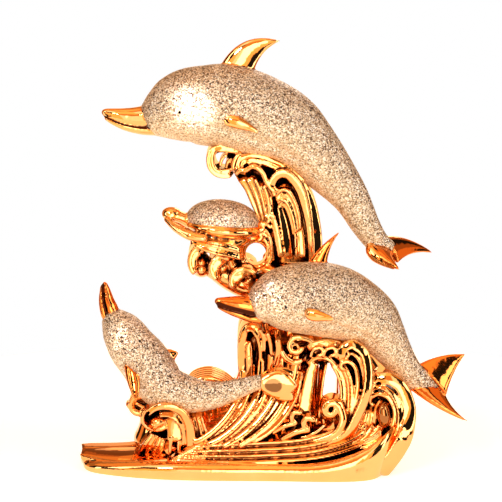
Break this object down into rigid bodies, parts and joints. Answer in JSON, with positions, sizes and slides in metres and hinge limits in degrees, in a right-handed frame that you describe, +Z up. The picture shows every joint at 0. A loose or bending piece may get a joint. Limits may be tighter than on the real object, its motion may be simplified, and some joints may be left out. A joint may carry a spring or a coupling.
{
  "type": "dolphin statue",
  "caption": "Cast ceramic statue of dolphins leaping over curling waves, with a sea turtle, on a flat foot; mirror-plated water and fins, sand-textured bodies.",
  "frame": {"origin": "on the flat underside, near the middle of the foot", "axes": "+Z up to the top dolphin's back fin; the carved front faces -Y; the dolphins' heads point to -X"},
  "size_m": [0.2919, 0.1256, 0.3215],
  "materials": {
    "plated_ceramic": "rose gold mirror plating on the water, fins and beaks; fine champagne sand texture on the bodies"
  },
  "bodies": {
    "root": {"dolphin_statue": "plated_ceramic"}
  },
  "joints": []
}
